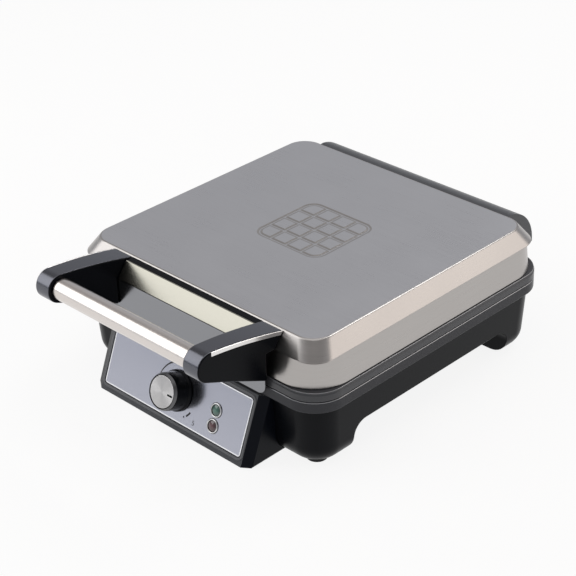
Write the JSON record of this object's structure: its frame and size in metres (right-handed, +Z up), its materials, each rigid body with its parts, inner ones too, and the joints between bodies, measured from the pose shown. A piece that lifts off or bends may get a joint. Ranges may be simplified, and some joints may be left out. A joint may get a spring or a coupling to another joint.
{
  "type": "belgian waffle maker",
  "caption": "Square countertop waffle maker: hinged steel lid with a front tube handle, deep grid plates, black base on legs and a sloping dial panel.",
  "frame": {"origin": "on the ground plane under the centre of the whole object's box, midway between the handle's nose and the rear cover", "axes": "+X to the appliance's right seen from the front, +Y towards the hinges at the rear, +Z up; the front with the dial faces -Y"},
  "size_m": [0.2786, 0.3677, 0.123],
  "materials": {
    "black_plastic": "black moulded plastic, satin to glossy",
    "grey_black_plastic": "dark grey moulded plastic, satin",
    "brushed_steel": "fine brushed stainless steel",
    "satin_steel": "cool satin stainless steel",
    "bright_trim": "polished trim",
    "nonstick": "dark non-stick coat on cast plates",
    "aluminium": "plain mill sheet",
    "element_steel": "heat-darkened steel sheath",
    "zinc": "zinc-plated steel",
    "rubber": "matt black rubber",
    "green_lens": "clear green lens",
    "red_lens": "dark red lens",
    "cream_plastic": "heat-proof cream moulding"
  },
  "bodies": {
    "base": {"base_shell": "black_plastic", "bottom_cover": "black_plastic", "bottom_screw_front_left": "zinc", "bottom_screw_front_right": "zinc", "bottom_screw_rear_left": "zinc", "bottom_screw_rear_right": "zinc", "control_housing": "black_plastic", "cord_gland": "rubber", "foot_front_left": "rubber", "foot_front_right": "rubber", "foot_rear_left": "rubber", "foot_rear_right": "rubber", "hinge_fork_left": "black_plastic", "hinge_fork_right": "black_plastic", "hinge_pin_left": "zinc", "hinge_pin_right": "zinc", "lower_element": "element_steel", "lower_grid_plate": "nonstick", "lower_reflector": "aluminium", "panel_plate": "satin_steel", "plate_deck": "grey_black_plastic", "plate_post_front_left": "zinc", "plate_post_front_right": "zinc", "plate_post_rear_left": "zinc", "plate_post_rear_right": "zinc", "power_bezel": "bright_trim", "power_lamp_body": "cream_plastic", "power_lens": "red_lens", "ready_bezel": "bright_trim", "ready_lamp_body": "cream_plastic", "ready_lens": "green_lens", "terminal_block": "cream_plastic", "thermal_fuse": "zinc", "thermostat_body": "cream_plastic"},
    "lid": {"lid_cover": "brushed_steel", "lid_frame": "grey_black_plastic", "upper_grid_plate": "nonstick", "upper_element": "element_steel", "upper_reflector": "aluminium", "rear_cover": "grey_black_plastic", "lid_hinge_arm_left": "zinc", "lid_hinge_arm_right": "zinc", "bracket_strip": "brushed_steel", "bracket_bar": "black_plastic", "bracket_carrier": "black_plastic", "bracket_apron": "satin_steel", "handle_arm_left": "black_plastic", "handle_arm_right": "black_plastic", "arm_trim_left": "bright_trim", "arm_trim_right": "bright_trim", "handle_tube": "brushed_steel", "handle_rod": "zinc"},
    "dial": {"dial_knob": "black_plastic", "dial_cap": "brushed_steel", "dial_pointer": "black_plastic", "dial_shaft": "zinc"}
  },
  "joints": [
    {"name": "lid_hinge", "type": "hinge", "parent": "base", "child": "lid", "pos_m": [0, 0.17315, 0.06], "axis": [-1, 0, 0], "range_deg": [0, 105]},
    {"name": "dial_turn", "type": "hinge", "parent": "base", "child": "dial", "pos_m": [0.0009, -0.12681, 0.02916], "axis": [0, -0.9272, 0.3746], "range_deg": [-45, 225]}
  ]
}
